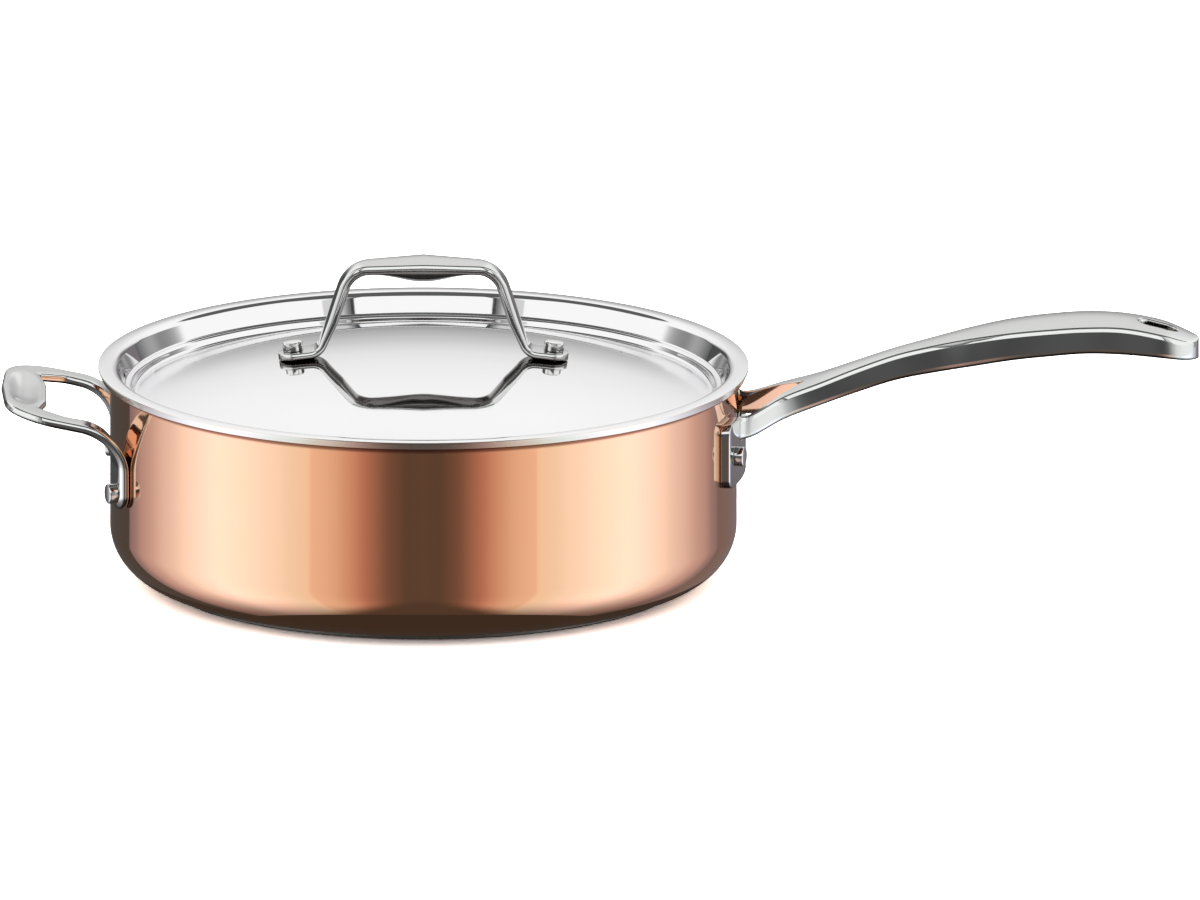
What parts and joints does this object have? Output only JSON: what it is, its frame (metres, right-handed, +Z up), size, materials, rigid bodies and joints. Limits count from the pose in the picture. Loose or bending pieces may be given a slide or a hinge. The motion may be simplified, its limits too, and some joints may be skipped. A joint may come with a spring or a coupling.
{
  "type": "saute pan",
  "caption": "Straight-sided copper saute pan with a steel rim and lining, a long riveted handle, a looped helper handle and a stepped domed lid with a strap handle.",
  "frame": {"origin": "centre of the base disc's underside, the face that the pan stands on", "axes": "+X out along the long handle, +Y away from the side that the picture shows, +Z up"},
  "size_m": [0.4674, 0.254, 0.1287],
  "materials": {
    "copper": "mirror polished copper",
    "aluminium": "bare, seen only at the rim's cut edge",
    "liner_steel": "fine satin",
    "disc_steel": "satin",
    "handle_steel": "satin cast steel with polished edges",
    "rivet_steel": "polished",
    "lid_steel": "mirror polished"
  },
  "bodies": {
    "pan": {"copper_shell": "copper", "aluminium_core": "aluminium", "steel_liner": "liner_steel", "base_disc": "disc_steel", "long_handle": "handle_steel", "long_handle_rivet_near": "rivet_steel", "long_handle_rivet_far": "rivet_steel", "helper_handle": "handle_steel", "helper_rivet_near": "rivet_steel", "helper_rivet_far": "rivet_steel"},
    "lid": {"lid_shell": "lid_steel", "lid_handle": "handle_steel", "lid_rivet_left": "rivet_steel", "lid_rivet_right": "rivet_steel"}
  },
  "joints": [
    {"name": "lid_lift", "type": "slide", "parent": "pan", "child": "lid", "axis": [0, 0, 1], "range_m": [0, 0.12]}
  ]
}
